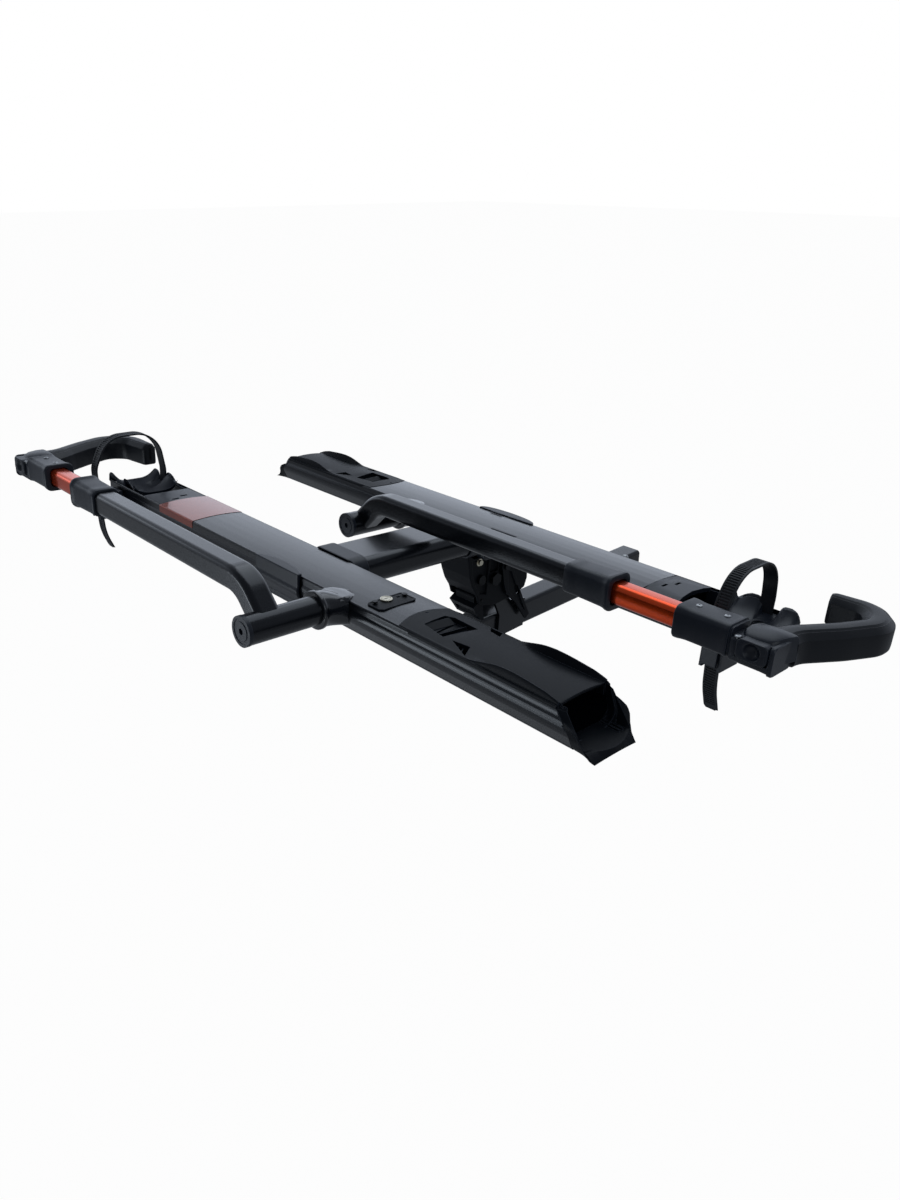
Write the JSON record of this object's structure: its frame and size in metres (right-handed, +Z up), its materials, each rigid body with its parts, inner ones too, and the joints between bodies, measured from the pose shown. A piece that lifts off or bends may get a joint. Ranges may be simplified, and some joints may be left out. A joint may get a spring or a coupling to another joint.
{
  "type": "hitch bike rack",
  "caption": "Hitch-mounted platform bike rack: a tilting spine carries wheel trays with scoops and strap cradles, and swinging telescopic arms with padded wheel hooks.",
  "frame": {"origin": "on the axis of the hitch pin hole, at the middle of the hitch tube", "axes": "+X along the hitch pin hole and the wheel trays, +Y along the hitch tube towards the car, +Z up"},
  "size_m": [1.5, 1.1045, 0.3901],
  "materials": {
    "paint": "black metallic powder coat with a satin gloss",
    "plastic": "black glass-filled nylon, lightly textured",
    "rubber": "matte black rubber",
    "orange": "deep orange anodised and lacquered aluminium",
    "steel": "zinc-plated steel",
    "chrome": "bright plated bolt"
  },
  "bodies": {
    "hitch": {"hitch_tube": "paint", "tube_plug": "plastic", "bracket_plates": "paint"},
    "cam_screw": {"cam_knob": "plastic", "cam_rod": "steel"},
    "cam_wedge": {"cam_wedge": "steel"},
    "cam_ball": {"cam_ball": "steel"},
    "rack": {"pivot_housing": "paint", "pivot_bushes": "plastic", "pivot_bolt": "steel", "pivot_nut": "steel", "cross_bolt": "chrome", "latch_pin": "steel", "pedal_pin": "steel", "lever_pin": "steel", "spine_tube": "paint", "near_saddle": "plastic", "far_saddle": "plastic", "near_saddle_screws": "steel", "far_saddle_screws": "steel", "lock_plate": "plastic", "plate_screws": "steel", "near_band": "orange", "near_tray": "paint", "near_scoop": "plastic", "near_cradle": "plastic", "near_strap": "rubber", "near_buckle": "plastic", "near_boss": "paint", "near_pivot_shaft": "steel", "far_tray": "paint", "far_scoop": "plastic", "far_cradle": "plastic", "far_strap": "rubber", "far_buckle": "plastic", "far_boss": "paint", "far_pivot_shaft": "steel"},
    "foot_pedal": {"foot_pedal": "plastic"},
    "release_lever": {"release_lever": "paint"},
    "lock_cylinder": {"lock_cylinder": "steel"},
    "near_arm": {"near_arm": "paint", "near_end_cap": "plastic", "near_collar": "plastic"},
    "near_slide": {"near_slide_tube": "orange", "near_hook_head": "plastic", "near_hook_core": "steel", "near_hook_pad": "rubber", "near_hook_screws": "steel"},
    "near_trigger": {"near_trigger": "plastic"},
    "near_buckle_lever": {"near_buckle_lever": "plastic"},
    "far_arm": {"far_arm": "paint", "far_end_cap": "plastic", "far_collar": "plastic"},
    "far_slide": {"far_slide_tube": "orange", "far_hook_head": "plastic", "far_hook_core": "steel", "far_hook_pad": "rubber", "far_hook_screws": "steel"},
    "far_trigger": {"far_trigger": "plastic"},
    "far_buckle_lever": {"far_buckle_lever": "plastic"}
  },
  "joints": [
    {"name": "tilt", "type": "hinge", "parent": "hitch", "child": "rack", "pos_m": [0, -0.415, 0.113], "axis": [1, 0, 0], "range_deg": [-86, 20]},
    {"name": "pedal_press", "type": "hinge", "parent": "rack", "child": "foot_pedal", "pos_m": [0, -0.44751, 0.07713], "axis": [1, 0, 0], "range_deg": [0, 12], "stiffness_Nm_per_rad": 6},
    {"name": "lever_pull", "type": "hinge", "parent": "rack", "child": "release_lever", "pos_m": [0.043, -0.38763, 0.13218], "axis": [1, 0, 0], "range_deg": [0, 12]},
    {"name": "cam_turn", "type": "hinge", "parent": "hitch", "child": "cam_screw", "pos_m": [0, -0.45, -0.014], "axis": [0, 1, 0], "range_deg": [0, 720]},
    {"name": "wedge_slide", "type": "slide", "parent": "hitch", "child": "cam_wedge", "axis": [0, -1, 0], "range_m": [0, 0.006]},
    {"name": "ball_slide", "type": "slide", "parent": "hitch", "child": "cam_ball", "axis": [0.7071, 0, 0.7071], "range_m": [0, 0.003]},
    {"name": "lock_turn", "type": "hinge", "parent": "rack", "child": "lock_cylinder", "pos_m": [0.202, -0.81516, 0.25655], "axis": [0, 0.068, 0.9977], "range_deg": [0, 90]},
    {"name": "near_arm_swing", "type": "hinge", "parent": "rack", "child": "near_arm", "pos_m": [0.14, -0.95713, 0.24718], "axis": [0, 0.9977, -0.068], "range_deg": [0, 130]},
    {"name": "near_hook_slide", "type": "slide", "parent": "near_arm", "child": "near_slide", "axis": [-1, 0, 0], "range_m": [-0.03, 0.15]},
    {"name": "near_trigger_press", "type": "slide", "parent": "near_slide", "child": "near_trigger", "axis": [0, 0.9977, -0.068], "range_m": [0, 0.004], "stiffness_N_per_m": 600},
    {"name": "near_buckle_lift", "type": "hinge", "parent": "rack", "child": "near_buckle_lever", "pos_m": [-0.557, -0.90958, 0.23893], "axis": [1, 0, 0], "range_deg": [-60, 0], "stiffness_Nm_per_rad": 0.05},
    {"name": "far_arm_swing", "type": "hinge", "parent": "rack", "child": "far_arm", "pos_m": [-0.14, -0.56304, 0.22032], "axis": [0, 0.9977, -0.068], "range_deg": [-130, 0]},
    {"name": "far_hook_slide", "type": "slide", "parent": "far_arm", "child": "far_slide", "axis": [1, 0, 0], "range_m": [-0.03, 0.15]},
    {"name": "far_trigger_press", "type": "slide", "parent": "far_slide", "child": "far_trigger", "axis": [0, 0.9977, -0.068], "range_m": [0, 0.004], "stiffness_N_per_m": 600},
    {"name": "far_buckle_lift", "type": "hinge", "parent": "rack", "child": "far_buckle_lever", "pos_m": [0.557, -0.5155, 0.21207], "axis": [1, 0, 0], "range_deg": [-60, 0], "stiffness_Nm_per_rad": 0.05}
  ],
  "couplings": [
    {"joint": "lever_pull", "follows": "pedal_press", "ratio": 1},
    {"joint": "cam_turn", "follows": "wedge_slide", "rad_per_m": 2094.4},
    {"joint": "ball_slide", "follows": "wedge_slide", "ratio": 0.5}
  ]
}
